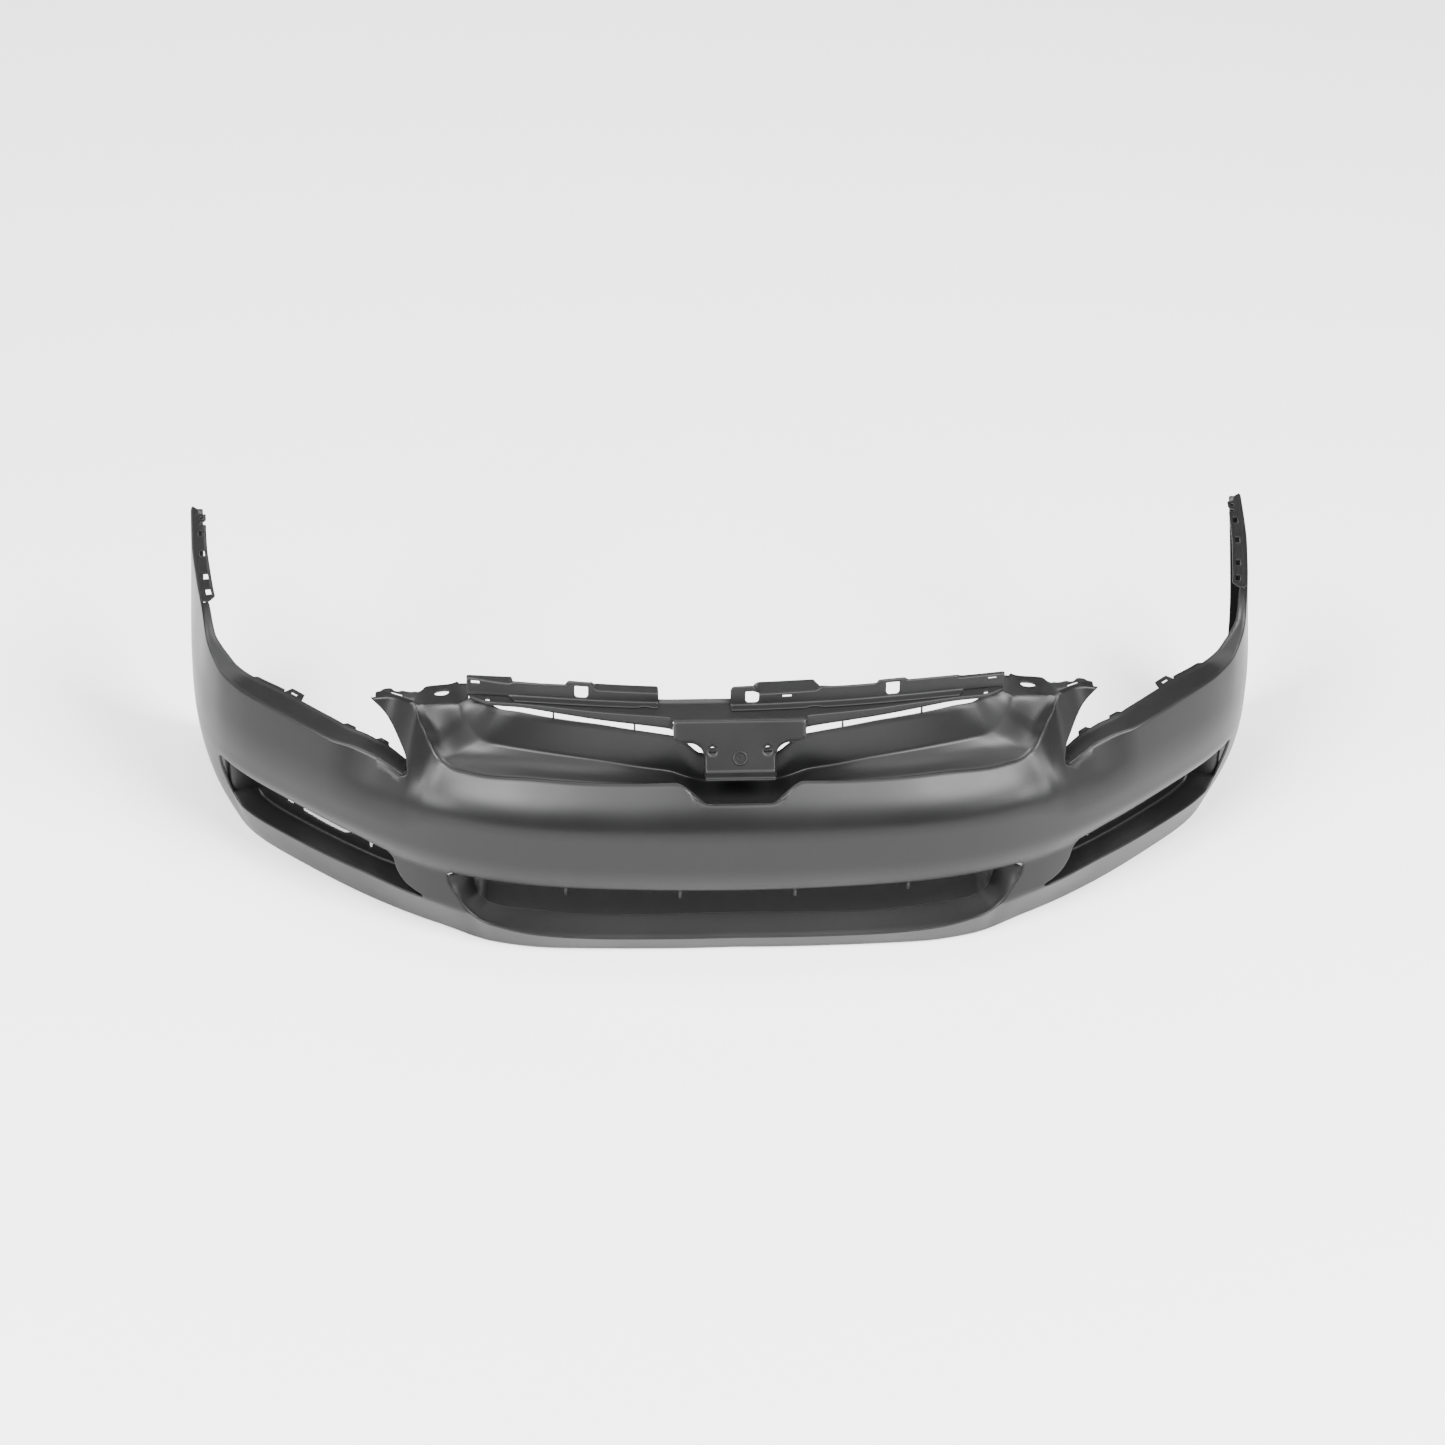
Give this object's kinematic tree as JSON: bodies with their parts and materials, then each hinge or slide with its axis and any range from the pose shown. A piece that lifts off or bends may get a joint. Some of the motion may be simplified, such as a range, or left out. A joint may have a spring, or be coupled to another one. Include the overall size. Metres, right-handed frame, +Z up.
{
  "type": "bumper cover",
  "caption": "Front bumper cover for a saloon car: a thin U-shaped plastic moulding with a grille recess, headlamp notches, fog lamp pockets, a lower opening and wheel arch ends.",
  "frame": {"origin": "centre of the footprint on the level that the lower edge stands on", "axes": "+X towards the cover's right-hand end as seen from in front, +Y rearward along the car, +Z up; the front face looks along -Y"},
  "size_m": [1.7948, 0.71, 0.454],
  "materials": {
    "primer": "satin grey primer with a fine even texture",
    "moulded_plastic": "matt moulded plastic with overspray"
  },
  "bodies": {
    "root": {"bumper_skin": "primer", "grille_recess": "primer", "emblem_plate": "primer", "horn_flange_left": "primer", "horn_flange_right": "primer", "headlamp_shelf_left": "primer", "headlamp_shelf_right": "primer", "fender_flange_left": "primer", "fender_flange_right": "primer", "wheel_arch_flange_left": "primer", "wheel_arch_flange_right": "primer", "upper_beam": "moulded_plastic", "upper_rail_left": "moulded_plastic", "upper_rail_right": "moulded_plastic", "lower_duct": "moulded_plastic", "bar_return_flange": "moulded_plastic", "duct_post_inner_left": "moulded_plastic", "duct_post_inner_right": "moulded_plastic", "duct_post_outer_left": "moulded_plastic", "duct_post_outer_right": "moulded_plastic", "grille_strut_inner_left": "moulded_plastic", "grille_strut_inner_right": "moulded_plastic", "grille_strut_outer_left": "moulded_plastic", "grille_strut_outer_right": "moulded_plastic", "fog_pocket_left": "moulded_plastic", "fog_pocket_right": "moulded_plastic", "lower_flange": "moulded_plastic"}
  },
  "joints": []
}
